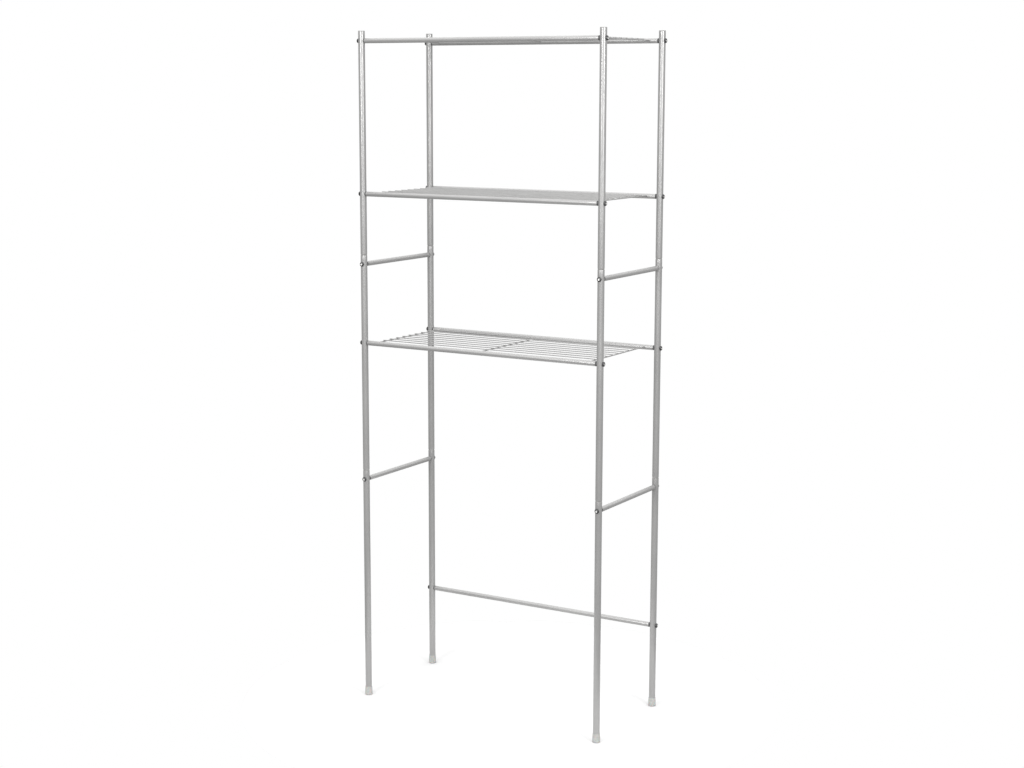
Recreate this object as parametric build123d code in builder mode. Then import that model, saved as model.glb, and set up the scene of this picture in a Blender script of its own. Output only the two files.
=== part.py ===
from build123d import *
import os

# Over-the-toilet storage rack: four bolted tube posts, three wire shelves, side bars and a back brace.
#
# Millimetres. The origin is on the floor, midway between the four posts. +Z is up and the front faces -Y.
# Each post is three tubes that plug into each other, with a plastic cap on top and a soft cap as its foot.
# Every horizontal tube ends in a saddle plug that seats on a post, and a bolt goes through the post into it.

# Overall frame, measured between the axes of the posts.
post_spacing_x = 610.0
post_spacing_y = 275.0

# Posts: three tubes each. The lower end of an upper tube is reduced and slides into the tube below.
post_d = 15.0
post_wall = 0.8
post_tube_length = 540.0
post_overlap = 40.0
post_neck = 3.0
post_slide_gap = 0.1
post_tubes = ("bottom", "middle", "top")

# Horizontal tubes: shelf tubes, side bars and the back brace.
bar_d = 11.0
bar_wall = 0.8

# Heights.
top_shelf_drop = 21.0  # from the top of the post tube to the axis of the top shelf
shelf_spacing = 340.0
shelf_names = ("top", "middle", "bottom")
joint_bolt_drop = 20.0  # from the rim of a post joint down to the bolt that locks it
back_brace_height = 194.0

# Wire decks.
long_wire_d = 2.4
long_wire_pitch = 26.0
long_wire_overhang = 2.0
cross_wire_d = 3.0
cross_wire_inset = 30.5  # from the post axis to the outer cross wires
cross_wire_count = 3
cross_wire_rise = 1.5  # from the axis of the shelf tubes up to the axis of the cross wires
weld_bite = 0.4

# Bolts: button heads with a hexagon socket.
bolt_d = 6.0
bolt_reach = 15.0  # past the far side of the post
bolt_tip_chamfer = 0.8
bolt_head_d = 10.5
bolt_head_height = 3.3
bolt_head_rim = 0.7
bolt_head_flat_d = 5.6
bolt_socket_width = 4.0
bolt_socket_depth = 2.0
bolt_hole_gap = 0.25

# Saddle plugs at the ends of the horizontal tubes.
plug_neck = 1.6  # between the post and the flange, on the tube's axis
plug_neck_d = 8.8
plug_flange = 0.8
plug_depth = 14.0
plug_gap = 0.05
thread_gap = 0.05
seat_gap = 0.02

# Caps on the posts and feet under them.
cap_flange = 1.2
cap_flange_edge = 0.5
cap_depth = 10.0
cap_wall = 1.6
cap_gap = 0.05
foot_floor = 2.0
foot_height = 20.0
foot_top_wall = 0.7
foot_bottom_wall = 1.4
foot_edge = 1.6
foot_recess_d = 9.0
foot_recess_depth = 0.6
foot_gap = 0.05

# Places that follow from the sizes above.
post_r = post_d / 2
bar_r = bar_d / 2
plug_flange_end = post_r + plug_neck + plug_flange  # the end of a bar, from a post's axis
tube_pitch = post_tube_length - post_overlap
post_top = foot_floor + post_tube_length + tube_pitch * (len(post_tubes) - 1)
shelf_height = {name: post_top - top_shelf_drop - i * shelf_spacing for i, name in enumerate(shelf_names)}
joint_rim = [foot_floor + post_tube_length + tube_pitch * i for i in range(len(post_tubes) - 1)]
side_bar_height = {
    "lower": joint_rim[0] - joint_bolt_drop,
    "upper": joint_rim[1] - joint_bolt_drop,
}
bolt_hole_r = bolt_d / 2 + bolt_hole_gap
sides = {"left": -1, "right": 1}
faces = {"front": -1, "back": 1}

up = Vector(0, 0, 1)


def write(piece, name):
    """Labels a finished piece and writes it to its own file."""
    piece.part.label = name
    export_step(piece.part, f"parts/{name}.step")


def post_axis(face, side):
    """The point on the floor under a post."""
    return Vector(sides[side] * post_spacing_x / 2, faces[face] * post_spacing_y / 2, 0)


def axial_plane(origin, direction):
    """A plane that holds an axis: its X runs along direction and its Y is square to it."""
    sideways = direction.cross(up) if abs(direction.Z) < 0.5 else Vector(0, -1, 0)
    return Plane(origin=origin, x_dir=direction, z_dir=sideways)


def post_tube(face, side, index):
    """One tube of a post. Every tube but the bottom one has a reduced lower end."""
    foot = post_axis(face, side)
    low = foot_floor + tube_pitch * index
    high = low + post_tube_length
    tail_r = post_r - post_wall - post_slide_gap
    with BuildPart() as tube:
        with BuildSketch(axial_plane(foot, up)):
            with BuildLine():
                if index == 0:
                    Polyline(
                        (low, post_r),
                        (high, post_r),
                        (high, post_r - post_wall),
                        (low, post_r - post_wall),
                        close=True,
                    )
                else:
                    tail_end = low + post_overlap
                    shoulder = tail_end + post_neck
                    Polyline(
                        (low, tail_r),
                        (tail_end, tail_r),
                        (shoulder, post_r),
                        (high, post_r),
                        (high, post_r - post_wall),
                        (shoulder, post_r - post_wall),
                        (tail_end, tail_r - post_wall),
                        (low, tail_r - post_wall),
                        close=True,
                    )
            make_face()
        revolve(axis=Axis(foot, up))
        for height, direction in bolt_places(face, side):
            if low < height < high:
                with BuildSketch(Plane(origin=foot + up * height, z_dir=direction)):
                    Circle(bolt_hole_r)
                extrude(amount=post_d, both=True, mode=Mode.SUBTRACT)
    write(tube, f"{face}_{side}_post_{post_tubes[index]}")


def bolt_places(face, side):
    """The height of every bolt in a post, and the way that its head faces."""
    outward = Vector(sides[side], 0, 0)
    places = [(height, outward) for height in shelf_height.values()]
    places += [(height, Vector(0, faces[face], 0)) for height in side_bar_height.values()]
    if face == "back":
        places.append((back_brace_height, outward))
    return places


def post_cap(face, side):
    """A plastic cap pushed into the top of a post."""
    foot = post_axis(face, side)
    body_r = post_r - post_wall - cap_gap
    with BuildPart() as cap:
        with BuildSketch(axial_plane(foot, up)):
            with BuildLine():
                Polyline(
                    (post_top - cap_depth, body_r),
                    (post_top, body_r),
                    (post_top, post_r),
                    (post_top + cap_flange, post_r),
                    (post_top + cap_flange, 0),
                    (post_top, 0),
                    (post_top, body_r - cap_wall),
                    (post_top - cap_depth, body_r - cap_wall),
                    close=True,
                )
            make_face()
        revolve(axis=Axis(foot, up))
        fillet(cap.edges().group_by(Axis.Z)[-1], radius=cap_flange_edge)
    write(cap, f"{face}_{side}_post_cap")


def foot_cap(face, side):
    """A soft cap pushed over the bottom of a post, a little wider at the floor."""
    foot = post_axis(face, side)
    bore_r = post_r + foot_gap
    with BuildPart() as cap:
        with BuildSketch(axial_plane(foot, up)):
            with BuildLine():
                Polyline(
                    (foot_recess_depth, 0),
                    (foot_recess_depth, foot_recess_d / 2),
                    (0, foot_recess_d / 2),
                    (0, bore_r + foot_bottom_wall),
                    (foot_height, bore_r + foot_top_wall),
                    (foot_height, bore_r),
                    (foot_floor, bore_r),
                    (foot_floor, 0),
                    close=True,
                )
            make_face()
        revolve(axis=Axis(foot, up))
        fillet(cap.edges().group_by(Axis.Z)[0].sort_by(SortBy.RADIUS)[-1], radius=foot_edge)
    write(cap, f"{face}_{side}_foot")


def straight_bar(start, end, name):
    """A horizontal tube between two posts whose axes are start and end, cut square short of them."""
    along = (end - start).normalized()
    with BuildPart() as bar:
        with BuildSketch(Plane(origin=start + along * plug_flange_end, z_dir=along)):
            Circle(bar_r)
            Circle(bar_r - bar_wall, mode=Mode.SUBTRACT)
        extrude(amount=(end - start).length - 2 * plug_flange_end)
    write(bar, name)


def saddle_plug(post, along):
    """The plug in one end of a bar: along points from the post's axis into the bar.

    Its neck is hollowed to sit on the post, its flange stops the bar, and its body fits inside the bar.
    """
    neck_r = plug_neck_d / 2
    neck_end = post_r + plug_neck
    body_r = bar_r - bar_wall - plug_gap
    bore_r = bolt_d / 2 + thread_gap
    with BuildPart() as plug:
        with BuildSketch(axial_plane(post, along)):
            with BuildLine():
                Polyline(
                    (0, bore_r),
                    (0, neck_r),
                    (neck_end, neck_r),
                    (neck_end, bar_r),
                    (plug_flange_end, bar_r),
                    (plug_flange_end, body_r),
                    (plug_flange_end + plug_depth, body_r),
                    (plug_flange_end + plug_depth, bore_r),
                    close=True,
                )
            make_face()
        revolve(axis=Axis(post, along))
        with BuildSketch(Plane(origin=post, z_dir=up)):
            Circle(post_r + seat_gap)
        extrude(amount=bar_d, both=True, mode=Mode.SUBTRACT)
        kept = plug.solids().sort_by(Axis(post, along))[-1]
    return kept


def button_bolt(post, outward):
    """A bolt through a post: its head sits on the outward side, its shank reaches into the bar behind."""
    tip = -(post_r + bolt_reach)
    shank_r = bolt_d / 2
    head_r = bolt_head_d / 2
    head_top = post_r + bolt_head_height
    with BuildPart() as bolt:
        with BuildSketch(axial_plane(post, outward)):
            with BuildLine():
                rim = (post_r + bolt_head_rim, head_r)
                crown = (head_top, bolt_head_flat_d / 2)
                Polyline(
                    (head_top, 0),
                    (tip, 0),
                    (tip, shank_r - bolt_tip_chamfer),
                    (tip + bolt_tip_chamfer, shank_r),
                    (post_r, shank_r),
                    (post_r, head_r),
                    rim,
                )
                dome = TangentArc(rim, crown, tangent=(1, 0))
                Line(dome @ 1, (head_top, 0))
            make_face()
        revolve(axis=Axis(post, outward))
        with BuildSketch(Plane(origin=post + outward * head_top, z_dir=outward)):
            RegularPolygon(bolt_socket_width / 2, side_count=6, major_radius=False)
        extrude(amount=-bolt_socket_depth, mode=Mode.SUBTRACT)
    return bolt.part.solid()


def write_group(solids, name):
    """Writes like pieces that share a node as one group of separate solids."""
    with BuildPart() as group:
        add(solids)
    write(group, name)


def write_joints(places, name):
    """The plugs and the bolts of like joints.

    Each place is a point on a post's axis and the way into its bar.
    """
    write_group([saddle_plug(post, along) for post, along in places], f"{name}_plugs")
    write_group([button_bolt(post, -along) for post, along in places], f"{name}_bolts")


def wire_deck(name):
    """The welded wires of one shelf: long wires lie across the tops of the cross wires."""
    height = shelf_height[name]
    cross_height = height + cross_wire_rise
    long_count = int(post_spacing_y / long_wire_pitch) - 1
    cross_span = post_spacing_x - 2 * cross_wire_inset
    long_length = cross_span + 2 * long_wire_overhang
    long_height = cross_height + (cross_wire_d + long_wire_d) / 2 - weld_bite
    with BuildPart() as deck:
        with BuildSketch(Plane.XZ):
            with Locations((0, cross_height)):
                with GridLocations(cross_span / (cross_wire_count - 1), 1, cross_wire_count, 1):
                    Circle(cross_wire_d / 2)
        extrude(amount=post_spacing_y / 2, both=True)
        with BuildSketch(Plane.YZ):
            with Locations((0, long_height)):
                with GridLocations(long_wire_pitch, 1, long_count, 1):
                    Circle(long_wire_d / 2)
        extrude(amount=long_length / 2, both=True)
        with BuildSketch(Plane.YZ):
            with Locations((0, height)):
                with GridLocations(post_spacing_y, 1, 2, 1):
                    Circle(bar_r)
        extrude(amount=post_spacing_x / 2, both=True, mode=Mode.SUBTRACT)
    write(deck, f"{name}_shelf_wire_deck")


os.makedirs("parts", exist_ok=True)

for face in faces:
    for side in sides:
        for index in range(len(post_tubes)):
            post_tube(face, side, index)
        post_cap(face, side)
        foot_cap(face, side)

into_rack = {side: Vector(-sign, 0, 0) for side, sign in sides.items()}
for name, height in shelf_height.items():
    for face in faces:
        left, right = (post_axis(face, side) + up * height for side in sides)
        straight_bar(left, right, f"{name}_shelf_{face}_tube")
    wire_deck(name)
    corners = [(post_axis(face, side) + up * height, into_rack[side]) for face in faces for side in sides]
    write_joints(corners, f"{name}_shelf")

for name, height in side_bar_height.items():
    for side in sides:
        front, back = (post_axis(face, side) + up * height for face in faces)
        straight_bar(front, back, f"{side}_{name}_side_bar")
    corners = [
        (post_axis(face, side) + up * height, Vector(0, -sign, 0))
        for face, sign in faces.items()
        for side in sides
    ]
    write_joints(corners, f"{name}_side_bar")

brace_ends = {side: post_axis("back", side) + up * back_brace_height for side in sides}
straight_bar(brace_ends["left"], brace_ends["right"], "back_brace_bar")
write_joints([(brace_ends[side], into_rack[side]) for side in sides], "back_brace")
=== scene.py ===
import math

import bmesh
import bpy
from mathutils import Matrix, Vector


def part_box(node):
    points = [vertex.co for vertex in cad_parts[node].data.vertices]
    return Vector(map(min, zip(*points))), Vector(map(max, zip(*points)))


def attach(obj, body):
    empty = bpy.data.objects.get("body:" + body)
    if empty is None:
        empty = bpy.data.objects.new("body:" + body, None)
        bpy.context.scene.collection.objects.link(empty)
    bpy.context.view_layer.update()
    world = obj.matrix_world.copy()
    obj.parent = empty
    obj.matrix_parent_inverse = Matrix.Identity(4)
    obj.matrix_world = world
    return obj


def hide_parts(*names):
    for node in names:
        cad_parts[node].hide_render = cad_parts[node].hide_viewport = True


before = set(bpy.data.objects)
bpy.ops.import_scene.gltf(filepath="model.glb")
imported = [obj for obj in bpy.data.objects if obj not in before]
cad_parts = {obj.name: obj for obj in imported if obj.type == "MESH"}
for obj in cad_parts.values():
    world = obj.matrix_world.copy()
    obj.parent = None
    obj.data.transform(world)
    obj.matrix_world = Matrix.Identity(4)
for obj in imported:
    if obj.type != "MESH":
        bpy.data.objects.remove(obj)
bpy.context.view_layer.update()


# ------------------------------------------------------------------ feet
# Each post stands in a soft milky cap, moulded in one shot, pushed on by hand and held by its own stretch.
# The cap is thicker at the floor, flares a little below its mouth, and has shallow grip ribs around it.

MM = 0.001
UP = Vector((0, 0, 1))
FACES = {"front": Vector((0, -1, 0)), "back": Vector((0, 1, 0))}
SIDES = {"left": Vector((-1, 0, 0)), "right": Vector((1, 0, 0))}
CORNERS = [(face, side) for face in FACES for side in SIDES]
LEVELS = ("bottom", "middle", "top")
BAR_LEVELS = ("lower", "upper")
SHARP_ANGLE = math.radians(40)

FOOT_SIDES = 96
FOOT_RIBS = 24
RIB_DEPTH = 0.12 * MM
FOOT_MOUTH_WALL = 0.7 * MM
FOOT_FLOOR = 2.0 * MM
FOOT_RECESS = 4.5 * MM
FOOT_RECESS_DEPTH = 0.6 * MM
FOOT_SLIP = 0.05 * MM
FOOT_EDGE = 1.4 * MM
FOOT_EDGE_RISE = 1.6 * MM
FOOT_EDGE_STEPS = 6
FOOT_SOFT_EDGE = 0.3 * MM
PLAIN_SHARE = 0.16
RIB_SHARES = (0.2, 0.32, 0.44, 0.56, 0.68, 0.76)
COLLAR_SHARES = (0.8, 0.83, 0.84)
FOOT_GREYING_HEIGHT = 2.5 * MM


def middle(node):
    """The centre of a node's box."""
    low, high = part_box(node)
    return (low + high) / 2


def size(node):
    """The three sides of a node's box."""
    low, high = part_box(node)
    return high - low


def read(value, angle):
    """A ring's size at one angle: sizes that change around the ring are functions of the angle."""
    return value(angle) if callable(value) else value


def turned(mesh, centre, axis, rings, sides, closed=False):
    """Adds one turned body to a mesh. Each ring is its distance along the axis and its radius.

    A radius of 0 is a single point in the middle. A closed body joins its last ring to its first.
    Gives back the faces, one list for each pair of rings.
    """
    axis = Vector(axis)
    aside = UP if abs(axis.z) < 0.5 else Vector((1, 0, 0))
    across = axis.cross(aside)
    loops = []
    for along, radius in rings:
        steps = 1 if radius == 0 else sides
        loop = []
        for step in range(steps):
            angle = 2 * math.pi * step / sides
            out = aside * math.cos(angle) + across * math.sin(angle)
            loop.append(mesh.verts.new(centre + axis * read(along, angle) + out * read(radius, angle)))
        loops.append(loop)
    pairs = list(zip(loops, loops[1:]))
    if closed:
        pairs.append((loops[-1], loops[0]))
    bands = []
    for one, two in pairs:
        band = []
        for step in range(sides):
            corners = [
                one[step % len(one)],
                one[(step + 1) % len(one)],
                two[(step + 1) % len(two)],
                two[step % len(two)],
            ]
            band.append(mesh.faces.new(list(dict.fromkeys(corners))))
        bands.append(band)
    return bands


def eased(points, radius, steps=3):
    """Rounds the corners of an outline of (along, radius) points, as tools, dies and paint leave them."""
    outline = [Vector(points[0])]
    for before, corner, after in zip(points, points[1:], points[2:]):
        before, corner, after = Vector(before), Vector(corner), Vector(after)
        reach = min(radius, (corner - before).length * 0.45, (after - corner).length * 0.45)
        start = corner + (before - corner).normalized() * reach
        end = corner + (after - corner).normalized() * reach
        for step in range(steps + 1):
            t = step / steps
            outline.append(start * (1 - t) ** 2 + corner * 2 * t * (1 - t) + end * t ** 2)
    outline.append(Vector(points[-1]))
    return [(point.x, point.y) for point in outline]


def eased_loop(points, radius, steps=3):
    """The same for a closed outline, such as the section of a tube's wall."""
    around = [points[-1], *points, points[0]]
    return eased(around, radius, steps)[1:-1]


def piece(name, mesh, finish, slot, *nodes):
    """Turns a finished mesh into a piece of the rack that stands for its nodes."""
    bmesh.ops.recalc_face_normals(mesh, faces=mesh.faces)
    data = bpy.data.meshes.new(name)
    mesh.to_mesh(data)
    mesh.free()
    data.shade_smooth()
    data.set_sharp_from_angle(angle=SHARP_ANGLE)
    data.materials.append(finish)
    item = bpy.data.objects.new(name, data)
    bpy.context.scene.collection.objects.link(item)
    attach(item, "root")
    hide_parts(*nodes)
    return item


class Surface:
    """One output of a finish's nodes, with the arithmetic that the finishes use."""

    def __init__(self, tree, socket=None):
        self.tree = tree
        self.socket = socket

    def node(self, kind, settings=None, sockets=None, output=0):
        """Adds a node of any kind, with its settings first and then its sockets' values or links."""
        made = self.tree.nodes.new(kind)
        for name, value in (settings or {}).items():
            setattr(made, name, value)
        for name, value in (sockets or {}).items():
            if isinstance(value, Surface):
                self.tree.links.new(value.socket, made.inputs[name])
            else:
                made.inputs[name].default_value = value
        return Surface(self.tree, made.outputs[output])

    def maths(self, operation, one, two):
        return self.node("ShaderNodeMath", {"operation": operation}, {0: one, 1: two})

    def __add__(self, other):
        return self.maths("ADD", self, other)

    def __radd__(self, other):
        return self.maths("ADD", other, self)

    def __sub__(self, other):
        return self.maths("SUBTRACT", self, other)

    def __rsub__(self, other):
        return self.maths("SUBTRACT", other, self)

    def __mul__(self, other):
        return self.maths("MULTIPLY", self, other)

    def __rmul__(self, other):
        return self.maths("MULTIPLY", other, self)

    def grain(self, scale, detail=2.0, roughness=0.5):
        """Even noise from 0 to 1 over this place, with this many grains to the metre."""
        return self.node(
            "ShaderNodeTexNoise",
            {},
            {"Vector": self, "Scale": scale, "Detail": detail, "Roughness": roughness},
        )

    def height(self):
        """How high this place is above the ground."""
        return self.node("ShaderNodeSeparateXYZ", {}, {0: self}, output="Z")

    def drawn_out(self, share):
        """This place squeezed along Z to a share, so that grains over it come out long and upright."""
        return self.node("ShaderNodeMapping", {}, {"Vector": self, "Scale": (1, 1, share)})

    def between(self, low, high):
        """0 below low and 1 above high, with a soft step between them."""
        return self.node(
            "ShaderNodeMapRange",
            {"interpolation_type": "SMOOTHSTEP"},
            {"Value": self, "From Min": low, "From Max": high},
        )

    def blend(self, one, two):
        """A colour that goes from one to two as this value goes from 0 to 1."""
        return self.node("ShaderNodeMix", {"data_type": "RGBA"}, {0: self, 6: one, 7: two}, output=2)

    def relief(self, depth, strength=1.0, over=None):
        """A bumped normal: this height, from 0 to 1, is that many metres deep."""
        sockets = {"Height": self, "Distance": depth, "Strength": strength}
        if over is not None:
            sockets["Normal"] = over
        return self.node("ShaderNodeBump", {}, sockets)


def new_finish(name, **constants):
    """An empty finish: the material, its shader's sockets, and the place on the rack, in metres."""
    finish = bpy.data.materials.new(name)
    finish.use_nodes = True
    shader = finish.node_tree.nodes["Principled BSDF"]
    for socket, value in constants.items():
        shader.inputs[socket.replace("_", " ")].default_value = value
    place = Surface(finish.node_tree).node("ShaderNodeTexCoord", output="Object")
    return finish, shader, place


def drive(finish, shader, **surfaces):
    """Links surfaces to the shader's sockets."""
    for socket, surface in surfaces.items():
        finish.node_tree.links.new(surface.socket, shader.inputs[socket.replace("_", " ")])


def milky_plastic():
    """Soft milky plastic that lets some light in, dull from its mould and greyer down at the floor."""
    finish, shader, place = new_finish(
        "milky_plastic", Subsurface_Weight=0.25, Subsurface_Scale=0.004, Specular_IOR_Level=0.4
    )
    cloud = place.grain(260.0, 4.0)
    speck = place.grain(1900.0, 3.0)
    # Greyer within a few millimetres of the floor.
    near_floor_greying = 1 - place.height().between(0.0, FOOT_GREYING_HEIGHT)
    milk = cloud.between(0.3, 0.7).blend((0.31, 0.31, 0.30, 1), (0.39, 0.39, 0.38, 1))
    dull = (near_floor_greying * 0.5).blend(milk, (0.30, 0.29, 0.28, 1))
    skin = cloud.relief(0.12 * MM, 0.5, over=speck.relief(0.03 * MM, 0.5))
    drive(finish, shader, Base_Color=dull, Roughness=0.42 + speck * 0.16, Normal=skin)
    return finish


def ribbed(radius):
    """A radius with shallow ribs around it that never pass the moulded size."""
    return lambda angle: radius - RIB_DEPTH * (0.5 - 0.5 * math.cos(FOOT_RIBS * angle)) ** 2


def foot_outline(height, floor_radius, bore):
    """The outline of a foot, from the middle of its underside, up its outside, and down its bore."""
    mouth = bore + FOOT_MOUTH_WALL
    edge = floor_radius - FOOT_EDGE
    recess = [(FOOT_RECESS_DEPTH, 0), (FOOT_RECESS_DEPTH, FOOT_RECESS), (0, FOOT_RECESS)]
    under = eased([*recess, (0, edge)], FOOT_SOFT_EDGE)
    for step in range(1, FOOT_EDGE_STEPS + 1):
        turn = math.radians(90 / FOOT_EDGE_STEPS * step)
        under.append((FOOT_EDGE_RISE * (1 - math.cos(turn)), edge + FOOT_EDGE * math.sin(turn)))

    def at(share):
        """The height and radius of the tapered wall at a share of the foot's height."""
        return height * share, floor_radius + (mouth - floor_radius) * share

    ribs = [(at(share)[0], ribbed(at(share)[1])) for share in RIB_SHARES]
    rim, step_low, step_high = COLLAR_SHARES
    collar = [
        at(rim),
        (height * step_low, at(rim)[1]),
        (height * step_high, mouth),
        (height, mouth),
        (height, bore),
    ]
    inside = eased([(height, bore), (FOOT_FLOOR, bore), (FOOT_FLOOR, 0)], FOOT_SOFT_EDGE)
    return [*under, at(PLAIN_SHARE), *ribs, *eased(collar, FOOT_SOFT_EDGE), *inside[1:]]


milky = milky_plastic()
for face, side in CORNERS:
    node = f"{face}_{side}_foot"
    bore = size(f"{face}_{side}_post_bottom").x / 2 + FOOT_SLIP
    outline = foot_outline(size(node).z, size(node).x / 2, bore)
    foot = bmesh.new()
    turned(foot, middle(node).xy.to_3d(), UP, outline, FOOT_SIDES)
    piece(f"soft_foot_{face}_{side}", foot, milky, "foot_plastic", node)


# ------------------------------------------------------------------ posts
# Each post is three lengths of thin steel tube. The lower ends of the middle and top lengths are reduced
# on a die and plug into the length below. Bolt holes are cut before the satin silver powder is baked on.

POST_SIDES = 72
POST_WALL = 0.8 * MM
POST_OVERLAP = 40.0 * MM
POST_NECK = 3.0 * MM
POST_SLIDE_GAP = 0.1 * MM
BOLT_HOLE = 3.25 * MM
TUBE_EDGE = 0.22 * MM
POST_LENGTHS = ("bottom", "middle", "top")
DRILL_REACH = 12 * MM
DRILL_SIDES = 32
HOLE_MARGIN = 9 * MM
RUB_BELOW = (1.2 * MM, 0.2 * MM)
RUB_ABOVE = (1.5 * MM, 5.0 * MM)


def powder_coat(name, rims=()):
    """Satin silver-grey powder on steel: fine flake, a soft orange-peel skin and faint handling marks.

    Rims are the heights of the post joints, where pushing the tubes together has rubbed the coat.
    """
    finish, shader, place = new_finish(name, Coat_Weight=0.2, Coat_Roughness=0.2, Specular_IOR_Level=0.5)
    cloud = place.grain(9.0, 3.0)
    peel = place.grain(620.0, 2.0)
    flake = place.grain(5200.0, 2.0, 0.7)
    scuff = place.drawn_out(0.12).grain(420.0, 5.0, 0.65)
    marks = scuff.between(0.62, 0.72)
    height = place.height()
    rubbed = marks * 0.12
    for rim in rims:
        start = height.between(*(rim - below for below in RUB_BELOW))
        end = height.between(*(rim + above for above in RUB_ABOVE))
        rubbed = rubbed + start * (1 - end) * scuff.between(0.35, 0.7) * 0.45
    silver = cloud.between(0.25, 0.75).blend((0.300, 0.298, 0.296, 1), (0.330, 0.328, 0.325, 1))
    flaked = (flake.between(0.35, 0.75) * 0.22).blend(silver, (0.50, 0.50, 0.49, 1))
    worn = rubbed.blend(flaked, (0.42, 0.415, 0.40, 1))
    skin = peel.relief(0.008 * MM, 0.3, over=flake.relief(0.001 * MM, 0.15))
    sheen = 0.27 + cloud * 0.04 + flake * 0.04 - rubbed * 0.06
    drive(
        finish,
        shader,
        Base_Color=worn,
        Roughness=sheen,
        Metallic=0.42 + flake * 0.1,
        Normal=skin,
    )
    return finish


def parted(section, heights):
    """Adds points to a tube's section at these heights, so that the faces cut by a hole stay short."""
    points = []
    for here, there in zip(section, section[1:] + section[:1]):
        points.append(here)
        low, high = sorted((here[0], there[0]))
        between = [height for height in heights if low < height < high]
        for height in between if there[0] > here[0] else reversed(between):
            share = (height - here[0]) / (there[0] - here[0])
            points.append((height, here[1] + (there[1] - here[1]) * share))
    return points


def drilled(tube, holes):
    """Cuts bolt holes through both walls of a tube. Each is a point on the tube's axis and a direction."""
    rod = [(-DRILL_REACH, 0), (-DRILL_REACH, BOLT_HOLE), (DRILL_REACH, BOLT_HOLE), (DRILL_REACH, 0)]
    cutter_mesh = bmesh.new()
    for centre, direction in holes:
        turned(cutter_mesh, centre, direction, rod, DRILL_SIDES)
    bmesh.ops.recalc_face_normals(cutter_mesh, faces=cutter_mesh.faces)
    data = bpy.data.meshes.new("drill")
    cutter_mesh.to_mesh(data)
    cutter_mesh.free()
    cutter = bpy.data.objects.new("drill", data)
    bpy.context.scene.collection.objects.link(cutter)
    cut = tube.modifiers.new("holes", "BOOLEAN")
    cut.operation = "DIFFERENCE"
    cut.solver = "EXACT"
    cut.object = cutter
    whole = bpy.data.meshes.new_from_object(tube.evaluated_get(bpy.context.evaluated_depsgraph_get()))
    tube.modifiers.clear()
    tube.data = whole
    whole.shade_smooth()
    whole.set_sharp_from_angle(angle=SHARP_ANGLE)
    bpy.data.objects.remove(cutter)


joint_rims = [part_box(f"front_left_post_{name}")[1].z for name in POST_LENGTHS[:-1]]
post_coat = powder_coat("silver_powder_on_posts", joint_rims)


def bolt_axes(face, side):
    """The height and direction of every bolt hole in a post."""
    across = [(middle(f"{level}_shelf_{face}_tube").z, SIDES[side]) for level in LEVELS]
    through = [(middle(f"{side}_{level}_side_bar").z, FACES[face]) for level in BAR_LEVELS]
    brace = [(middle("back_brace_bar").z, SIDES[side])] if face == "back" else []
    return across + through + brace


for face, side in CORNERS:
    for index, length_name in enumerate(POST_LENGTHS):
        node = f"{face}_{side}_post_{length_name}"
        low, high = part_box(node)
        foot_of_axis = middle(node).xy.to_3d()
        radius = (high.x - low.x) / 2
        bore = radius - POST_WALL
        tail_end = low.z + POST_OVERLAP
        shoulder = tail_end + POST_NECK
        holes = [
            (foot_of_axis + UP * height, direction)
            for height, direction in bolt_axes(face, side)
            if low.z < height < high.z
        ]
        guards = sorted(hole.z + step for hole, _ in holes for step in (-HOLE_MARGIN, HOLE_MARGIN))
        if index == 0:
            outside = [(low.z, bore), (low.z, radius)]
            inside = [(high.z, bore)]
        else:
            tail = bore - POST_SLIDE_GAP
            outside = [(low.z, tail - POST_WALL), (low.z, tail), (tail_end, tail), (shoulder, radius)]
            inside = [(high.z, bore), (shoulder, bore), (tail_end, tail - POST_WALL)]
        section = eased_loop([*outside, (high.z, radius), *inside], TUBE_EDGE)
        tube = bmesh.new()
        turned(tube, foot_of_axis, UP, parted(section, guards), POST_SIDES, closed=True)
        post = piece(f"post_{length_name}_{face}_{side}", tube, post_coat, "frame_coat", node)
        drilled(post, holes)


# ------------------------------------------------------------------ post caps
# A grey plastic plug closes the top of each post. Its thin flange sits on the tube's rim, and its skirt is
# pushed inside and holds by friction.

CAP_SIDES = 72
CAP_SKIRT_WALL = 1.6 * MM
CAP_SLIP = 0.05 * MM
CAP_DISH = 0.12 * MM
CAP_RIM_WIDTH = 1.6 * MM
CAP_RIM_SLOPE = 0.6 * MM
CAP_EDGE = 0.45 * MM
CAP_SKIRT_EDGE = 0.3 * MM


def grey_plastic():
    """Satin grey plastic with the fine even grain of a spark-eroded mould."""
    finish, shader, place = new_finish("grey_cap_plastic", Specular_IOR_Level=0.45)
    grain = place.grain(3600.0, 2.0)
    cloud = place.grain(180.0, 3.0)
    grey = cloud.between(0.3, 0.7).blend((0.27, 0.27, 0.265, 1), (0.31, 0.31, 0.305, 1))
    drive(
        finish,
        shader,
        Base_Color=grey,
        Roughness=0.38 + grain * 0.14,
        Normal=grain.relief(0.02 * MM, 0.5),
    )
    return finish


cap_plastic = grey_plastic()
for face, side in CORNERS:
    node = f"{face}_{side}_post_cap"
    low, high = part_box(node)
    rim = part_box(f"{face}_{side}_post_top")[1].z
    radius = (high.x - low.x) / 2
    skirt = radius - POST_WALL - CAP_SLIP
    hollow = skirt - CAP_SKIRT_WALL
    dish = high.z - CAP_DISH
    flat = radius - CAP_RIM_WIDTH
    top = [(dish, 0), (dish, flat - CAP_RIM_SLOPE), (high.z, flat), (high.z, radius)]
    flange = [*top, (rim, radius), (rim, skirt)]
    inside = [(rim, skirt), (low.z, skirt), (low.z, hollow), (rim, hollow), (rim, 0)]
    outline = eased(flange, CAP_EDGE, 4) + eased(inside, CAP_SKIRT_EDGE)[1:]
    cap = bmesh.new()
    turned(cap, middle(node).xy.to_3d(), UP, outline, CAP_SIDES)
    piece(f"post_cap_{face}_{side}", cap, cap_plastic, "cap_plastic", node)


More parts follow.
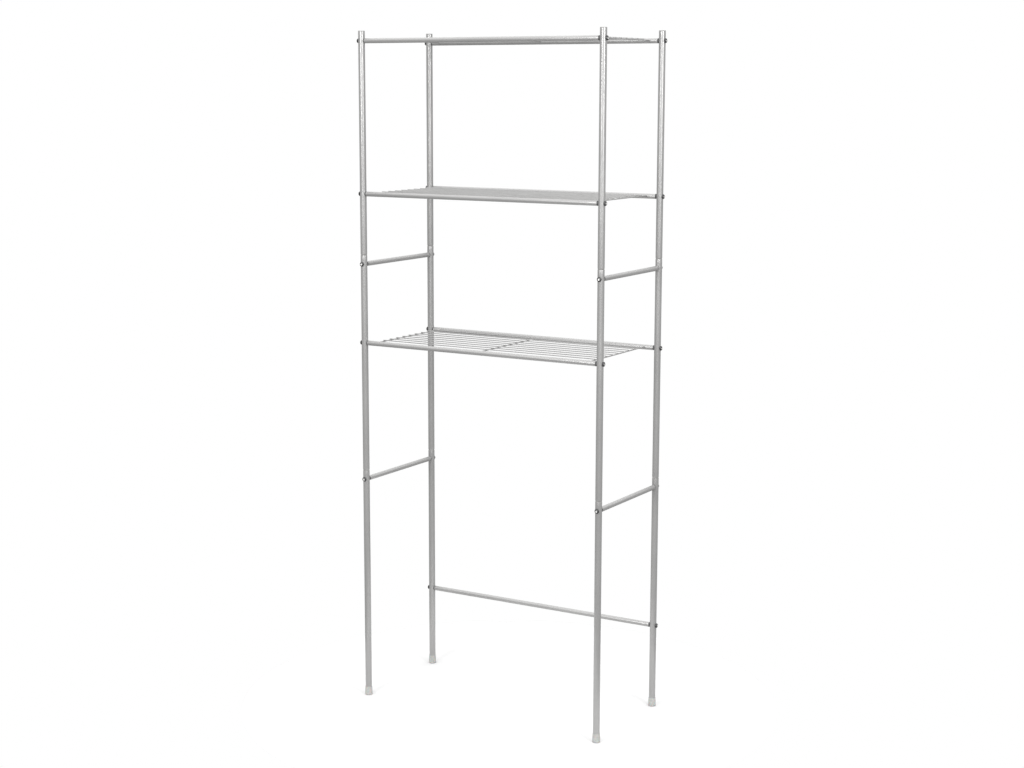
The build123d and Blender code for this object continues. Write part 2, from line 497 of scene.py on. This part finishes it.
# ------------------------------------------------------------------ cross tubes
# Shelf tubes, side bars and the back brace are the same thin tube, sawn square and deburred, then coated
# like the posts.

BAR_SIDES = 60
BAR_WALL = 0.8 * MM

bar_coat = powder_coat("silver_powder_on_bars")
cross_tubes = {f"{level}_shelf_{face}_tube": SIDES["right"] for level in LEVELS for face in FACES}
cross_tubes |= {f"{side}_{level}_side_bar": FACES["back"] for side in SIDES for level in BAR_LEVELS}
cross_tubes["back_brace_bar"] = SIDES["right"]

for node, along in cross_tubes.items():
    half = size(node).dot(along) / 2
    radius = size(node).z / 2
    bore = radius - BAR_WALL
    section = [(-half, radius), (half, radius), (half, bore), (-half, bore)]
    bar = bmesh.new()
    turned(bar, middle(node), along, eased_loop(section, TUBE_EDGE), BAR_SIDES, closed=True)
    piece(f"coated_{node}", bar, bar_coat, "frame_coat", node)


# ------------------------------------------------------------------ saddle plugs
# A plastic plug closes each end of a cross tube and takes the bolt's thread; its near-black colour is
# painted shade for the gap beside the post. A short neck is hollowed to sit on the round post, a thin
# flange stops the tube, and the body is pressed into it.

PLUG_SIDES = 72
PLUG_NECK = 1.6 * MM
PLUG_NECK_RADIUS = 4.4 * MM
PLUG_FLANGE = 0.8 * MM
PLUG_EDGE = 0.2 * MM
PLUG_DEPTH = 14.0 * MM
PLUG_BORE = 3.05 * MM
PLUG_GAP = 0.05 * MM
SEAT_GAP = 0.02 * MM

post_radius = size("front_left_post_bottom").x / 2
bar_radius = size("back_brace_bar").z / 2


def plug_plastic():
    """Near-black moulded plastic, satin, with a fine mould grain and slightly paler flow clouds. The
    near-black is painted shade for the gap where the plug meets the post.
    """
    finish, shader, place = new_finish("saddle_plug_painted_gap_shade", Specular_IOR_Level=0.4)
    grain = place.grain(3000.0, 2.0)
    cloud = place.grain(240.0, 3.0)
    # Painted shade: the near-black stands in for the shadow in the gap at the post.
    grey = cloud.between(0.3, 0.7).blend((0.07, 0.07, 0.071, 1), (0.10, 0.10, 0.101, 1))
    drive(
        finish,
        shader,
        Base_Color=grey,
        Roughness=0.42 + grain * 0.14,
        Normal=grain.relief(0.02 * MM, 0.5),
    )
    return finish


def on_post(radius, lift=0.0):
    """How far from the post's axis a neck of this radius meets the post, at each angle around the bar."""
    seat = post_radius + SEAT_GAP
    return lambda angle: math.sqrt(seat ** 2 - (radius * math.sin(angle)) ** 2) + lift


def joint_places(group):
    """The post's axis point and the direction into the bar, for every joint of a group."""
    places = []
    for face, side in CORNERS:
        if group.endswith("side_bar"):
            bar, into_bar = f"{side}_{group}", -FACES[face]
        elif group.endswith("shelf"):
            bar, into_bar = f"{group}_{face}_tube", -SIDES[side]
        elif face == "back":
            bar, into_bar = f"{group}_bar", -SIDES[side]
        else:
            continue
        post = middle(f"{face}_{side}_post_top")
        places.append((Vector((post.x, post.y, middle(bar).z)), into_bar))
    return places


def plug_outline():
    """The outline of a plug: its seat on the post, its neck, its flange, its body and back to its bore."""
    neck_end = post_radius + PLUG_NECK
    flange_end = neck_end + PLUG_FLANGE
    plug_end = flange_end + PLUG_DEPTH
    body = bar_radius - BAR_WALL - PLUG_GAP
    saddle = [
        (on_post(PLUG_BORE), PLUG_BORE),
        (on_post(PLUG_NECK_RADIUS - PLUG_EDGE), PLUG_NECK_RADIUS - PLUG_EDGE),
        (on_post(PLUG_NECK_RADIUS, PLUG_EDGE), PLUG_NECK_RADIUS),
    ]
    neck = [(neck_end - 2 * PLUG_EDGE, PLUG_NECK_RADIUS), (neck_end, PLUG_NECK_RADIUS)]
    flange = [(neck_end, bar_radius), (flange_end, bar_radius), (flange_end, body)]
    end = [(plug_end, body), (plug_end, PLUG_BORE), (flange_end, PLUG_BORE)]
    return [*saddle, *eased([*neck, *flange, *end], PLUG_EDGE)]


plug_gap_shade = plug_plastic()
JOINT_GROUPS = (
    "top_shelf",
    "middle_shelf",
    "bottom_shelf",
    "upper_side_bar",
    "lower_side_bar",
    "back_brace",
)

for group in JOINT_GROUPS:
    plugs = bmesh.new()
    for post_point, into_bar in joint_places(group):
        turned(plugs, post_point, into_bar, plug_outline(), PLUG_SIDES, closed=True)
    piece(f"saddle_plugs_{group}", plugs, plug_gap_shade, "plug_plastic", f"{group}_plugs")


# ------------------------------------------------------------------ bolts
# Steel button heads in a dark plate, whose near-black also paints the dark reflections at the domes'
# edges, and hexagon sockets coloured bright as a painted highlight. Each bolt passes through a post, from
# outside at the shelves and from front or back at the side bars, and threads into a plug.

BOLT_SIDES = 48
THREAD_SIDES = 24
HEAD_RADIUS = 5.25 * MM
HEAD_HEIGHT = 3.3 * MM
HEAD_RIM = 0.7 * MM
HEAD_FLAT = 2.8 * MM
HEAD_STEPS = 8
SOCKET_FLATS = 4.0 * MM
SOCKET_RADIUS = SOCKET_FLATS / 2
SOCKET_DEPTH = 2.0 * MM
SOCKET_LEAD = 0.25 * MM
SOCKET_LEAD_EDGE = 0.08 * MM
SOCKET_LEAD_SHARES = (1.22, 1.16)
SOCKET_CONE_START = 0.1 * MM
SOCKET_CONE_DEPTH = 0.5 * MM
SOCKET_CONE_SHARE = 0.8
SHANK_RADIUS = 3.0 * MM
THREAD_PITCH = 1.0 * MM
THREAD_DEPTH = 0.5 * MM
THREAD_LENGTH = 20.0 * MM
THREAD_POINT = 0.8 * MM
THREAD_STEPS = 4
PLAIN_SHANK_RADIUS = 2.9 * MM
HEAD_EDGE = 0.25 * MM
SHANK_START = -0.05 * MM
BOLT_REACH = 15.0 * MM


def plated_head_reflection_finish():
    """Black nickel plate on the heads' domes, rubbed unevenly by the barrel they were plated in. Its
    near-black also paints the dark reflections that shiny domes show at their edges.
    """
    finish, shader, place = new_finish("nickel_plate_and_painted_reflection", Metallic=1.0)
    grain = place.grain(2600.0, 3.0)
    stain = place.grain(700.0, 4.0)
    # Near-black tone: the plate's colour and a painted dark reflection at the domes' edges.
    plate = stain.between(0.35, 0.75).blend((0.07, 0.07, 0.072, 1), (0.11, 0.11, 0.11, 1))
    drive(
        finish,
        shader,
        Base_Color=plate,
        Roughness=0.38 + grain * 0.12,
        Normal=grain.relief(0.01 * MM, 0.4),
    )
    return finish


def socket_painted_highlight():
    """Bright steel in the sockets: a painted highlight, standing in for the light that the heads catch at
    their middle.
    """
    finish, shader, place = new_finish("bright_steel_painted_highlight", Metallic=1.0)
    grain = place.grain(2600.0, 3.0)
    streak = place.drawn_out(0.2).grain(1500.0, 3.0)
    # Painted highlight: near-white steel in the sockets.
    steel = streak.between(0.3, 0.7).blend((0.84, 0.84, 0.83, 1), (0.72, 0.72, 0.71, 1))
    drive(
        finish,
        shader,
        Base_Color=steel,
        Roughness=0.4 + grain * 0.15,
        Normal=grain.relief(0.01 * MM, 0.4),
    )
    return finish


def hexagon(flats):
    """The radius of a hexagon at each angle, from the distance across its flats."""
    return lambda angle: flats / 2 / math.cos((angle % (math.pi / 3)) - math.pi / 6)


def thread(along, pitch, major, depth):
    """The radius of a screw thread at one place along the bolt, at each angle."""

    def radius(angle):
        turn = (along / pitch + angle / (2 * math.pi)) % 1
        return major - depth * abs(2 * turn - 1)

    return radius


def head_dome():
    """The button head's dome: it rises square from the rim and curves in to the flat around the socket."""
    rise = HEAD_HEIGHT - HEAD_RIM
    run = HEAD_RADIUS - HEAD_FLAT
    bend = (rise ** 2 + run ** 2) / (2 * run)
    sweep = math.asin(rise / bend)
    dome = []
    for step in range(1, HEAD_STEPS + 1):
        turn = sweep * step / HEAD_STEPS
        dome.append((HEAD_RIM + bend * math.sin(turn), HEAD_RADIUS - bend * (1 - math.cos(turn))))
    return dome


head_plate_and_reflection = plated_head_reflection_finish()
socket_highlight = socket_painted_highlight()
rim = eased([(0, SHANK_RADIUS), (0, HEAD_RADIUS), (HEAD_RIM, HEAD_RADIUS)], HEAD_EDGE)
socket_floor = HEAD_HEIGHT - SOCKET_DEPTH
lead_mouth, lead_edge = (SOCKET_RADIUS * share for share in SOCKET_LEAD_SHARES)
socket = [
    (HEAD_HEIGHT, lead_mouth),
    (HEAD_HEIGHT - SOCKET_LEAD_EDGE, lead_edge),
    (HEAD_HEIGHT - SOCKET_LEAD, hexagon(SOCKET_FLATS)),
    (socket_floor, hexagon(SOCKET_FLATS)),
    (socket_floor - SOCKET_CONE_START, SOCKET_RADIUS * SOCKET_CONE_SHARE),
    (socket_floor - SOCKET_CONE_DEPTH, 0),
]
painted_highlight_bands = len(socket) - 2
tip = -(2 * post_radius + BOLT_REACH)
thread_start = tip + THREAD_LENGTH
shank = [(tip, 0), (tip, SHANK_RADIUS - THREAD_POINT)]
for step in range(round(THREAD_LENGTH / THREAD_PITCH - 1) * THREAD_STEPS):
    along = tip + THREAD_POINT + THREAD_PITCH * step / THREAD_STEPS
    shank.append((along, thread(along, THREAD_PITCH, SHANK_RADIUS, THREAD_DEPTH)))
shank += [(thread_start, PLAIN_SHANK_RADIUS), (SHANK_START, PLAIN_SHANK_RADIUS), (SHANK_START, 0)]

for group in JOINT_GROUPS:
    bolts = bmesh.new()
    for post_point, into_bar in joint_places(group):
        seat = post_point - into_bar * post_radius
        head = turned(bolts, seat, -into_bar, [(0, 0), *rim, *head_dome(), *socket], BOLT_SIDES)
        # The socket's walls and floor take the painted highlight.
        for band in head[-painted_highlight_bands:]:
            for face in band:
                face.material_index = 1
        turned(bolts, seat, -into_bar, shank, THREAD_SIDES)
    bolt = piece(f"button_bolts_{group}", bolts, head_plate_and_reflection, "bolt_plate", f"{group}_bolts")
    bolt.data.materials.append(socket_highlight)


# ------------------------------------------------------------------ wire decks
# Each shelf is nine straight wires lying on three cross wires, spot-welded wherever they touch. The cross
# wires butt against the shelf tubes and are welded there before the whole deck is coated.

LONG_RADIUS = 1.2 * MM
LONG_PITCH = 26.0 * MM
LONG_COUNT = 9
LONG_OVERHANG = 2.0 * MM
CROSS_RADIUS = 1.5 * MM
CROSS_COUNT = 3
LONG_SIDES = 20
CROSS_SIDES = 24
WIRE_END = 3.0 * MM
WIRE_END_EDGE = 0.5 * MM
FILLET_LENGTH = 2.2 * MM
FILLET_LEAD = 1.18
FILLET_SHARES = (0.25, 0.5, 0.75, 1.0)
FILLET_HEIGHT = 0.7 * MM
NUGGET_WIDTH = 1.7 * MM
NUGGET_HEIGHT = 0.55 * MM
NUGGET_SINK = 0.2 * MM
NUGGET_SIDES = 16
NUGGET_STEPS = range(-2, 3)
NUGGET_TURN = math.radians(30)


def weld_nugget(mesh, centre, wide, tall):
    """The flat bead that a spot weld squeezes out where two wires cross."""
    turns = [NUGGET_TURN * step for step in NUGGET_STEPS]
    bead = [(tall * math.sin(turn), wide * math.cos(turn)) for turn in turns]
    turned(mesh, centre, UP, [(-tall, 0), *bead, (tall, 0)], NUGGET_SIDES)


def deck_wire(mesh, centre, half):
    """A straight wire from left to right, its sheared ends softened by the coat."""
    end = eased([(half - WIRE_END, LONG_RADIUS), (half, LONG_RADIUS), (half, 0)], WIRE_END_EDGE, 4)
    rings = [(-along, radius) for along, radius in reversed(end)] + end
    turned(mesh, centre, Vector((1, 0, 0)), rings, LONG_SIDES)


def cross_wire(mesh, centre, half, below):
    """A wire from front to back that meets the round shelf tubes with a small weld fillet all around it.

    The tubes' axes lie half a span from its middle, to front and back, and this far below it.
    """

    def ring(radius, short, way):
        """A ring of this radius that stops short of the tube, on the front or back half."""

        def along(angle):
            rise = radius * math.cos(angle) + below
            return way * (half - short - math.sqrt(bar_radius ** 2 - rise ** 2))

        return along, radius

    def end(way):
        """The rings of one end, from the plain wire out to the tube."""
        rings = [ring(CROSS_RADIUS, FILLET_LENGTH * FILLET_LEAD, way)]
        for share in FILLET_SHARES:
            flare = CROSS_RADIUS + FILLET_HEIGHT * share ** 2
            rings.append(ring(flare, FILLET_LENGTH * (1 - share), way))
        return [*rings, ring(0, 0, way)]

    turned(mesh, centre, Vector((0, 1, 0)), [*reversed(end(-1)), *end(1)], CROSS_SIDES)


wire_coat = powder_coat("silver_powder_on_wires")
rows = [(row - (LONG_COUNT - 1) / 2) * LONG_PITCH for row in range(LONG_COUNT)]
for level in LEVELS:
    node = f"{level}_shelf_wire_deck"
    low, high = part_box(node)
    tube = middle(f"{level}_shelf_back_tube")
    cross_height = low.z + CROSS_RADIUS
    cross_reach = high.x - LONG_OVERHANG
    columns = [cross_reach * (2 * column / (CROSS_COUNT - 1) - 1) for column in range(CROSS_COUNT)]
    deck = bmesh.new()
    for row in rows:
        deck_wire(deck, Vector((0, row, high.z - LONG_RADIUS)), high.x)
    for column in columns:
        cross_wire(deck, Vector((column, 0, cross_height)), tube.y, cross_height - tube.z)
        for row in rows:
            nugget = Vector((column, row, cross_height + CROSS_RADIUS - NUGGET_SINK))
            weld_nugget(deck, nugget, NUGGET_WIDTH, NUGGET_HEIGHT)
    piece(f"wire_deck_{level}", deck, wire_coat, "frame_coat", node)


# ------------------------------------------------------------------ floor, light and camera
# A small pale floor in a white room that is a little dimmer near the ground, two tall soft boxes that draw
# the bright lines down the posts, a large one as fill, and a camera at standing height, to the right.

FLOOR_RADIUS = 0.62
FLOOR_SIDES = 128

floor_mesh = bmesh.new()
bmesh.ops.create_circle(floor_mesh, cap_ends=True, radius=FLOOR_RADIUS, segments=FLOOR_SIDES)
floor_data = bpy.data.meshes.new("floor")
floor_mesh.to_mesh(floor_data)
floor_mesh.free()
floor = bpy.data.objects.new("floor", floor_data)
bpy.context.scene.collection.objects.link(floor)
pale, pale_shader, pale_place = new_finish("pale_floor", Roughness=0.9, Specular_IOR_Level=0.1)
pale_grey = pale_place.grain(3.0).blend((0.57, 0.57, 0.57, 1), (0.59, 0.59, 0.59, 1))
drive(pale, pale_shader, Base_Color=pale_grey)
floor_data.materials.append(pale)


def soft_box(name, place, target, width, height, power):
    """A flat soft light that faces its target."""
    lamp = bpy.data.lights.new(name, "AREA")
    lamp.shape = "RECTANGLE"
    lamp.size = width
    lamp.size_y = height
    lamp.energy = power
    item = bpy.data.objects.new(name, lamp)
    bpy.context.scene.collection.objects.link(item)
    item.location = place
    item.rotation_euler = (Vector(target) - Vector(place)).to_track_quat("-Z", "Y").to_euler()
    item.visible_camera = False


soft_box("left_strip", (-0.14, -2.90, 1.95), (0.0, 0.0, 1.6), 0.55, 1.5, 40)
soft_box("right_strip", (2.55, -1.20, 1.95), (0.0, 0.0, 1.6), 0.55, 1.5, 38)
soft_box("front_fill", (2.30, -3.90, 1.5), (0.0, 0.0, 0.9), 2.0, 2.0, 28)

HORIZON_LIGHT = 0.51
ZENITH_LIGHT = 1.5
world = bpy.data.worlds.new("studio")
bpy.context.scene.world = world
world.use_nodes = True
room = Surface(world.node_tree)
direction = room.node("ShaderNodeTexCoord", output="Generated")
rise = direction.node("ShaderNodeSeparateXYZ", {}, {0: direction}, output="Z").between(-0.1, 1.0)
glow = HORIZON_LIGHT + rise * ZENITH_LIGHT
seen = room.node("ShaderNodeLightPath", output="Is Camera Ray")
strength = seen + (1 - seen) * glow
background = world.node_tree.nodes["Background"]
background.inputs["Color"].default_value = (1, 1, 1, 1)
world.node_tree.links.new(strength.socket, background.inputs["Strength"])

CAMERA_TURN = math.radians(30.72)
CAMERA_DROP = math.radians(9.481)
CAMERA_ROLL = math.radians(0.13)
CAMERA_PLACE = Vector((2.0722, -3.4774, 1.4279))
CAMERA_LENS = 63.26
CAMERA_FILM = 36.0
forward = Vector(
    (
        -math.sin(CAMERA_TURN) * math.cos(CAMERA_DROP),
        math.cos(CAMERA_TURN) * math.cos(CAMERA_DROP),
        -math.sin(CAMERA_DROP),
    )
)
level_right = forward.cross(UP).normalized()
level_up = level_right.cross(forward)
right = level_right * math.cos(CAMERA_ROLL) + level_up * math.sin(CAMERA_ROLL)
lens = bpy.data.cameras.new("camera")
lens.lens = CAMERA_LENS
lens.sensor_width = CAMERA_FILM
camera = bpy.data.objects.new("camera", lens)
bpy.context.scene.collection.objects.link(camera)
turn = Matrix((right, right.cross(forward), -forward)).transposed()
camera.matrix_world = Matrix.Translation(CAMERA_PLACE) @ turn.to_4x4()
bpy.context.scene.camera = camera
bpy.context.scene.view_settings.view_transform = "Standard"
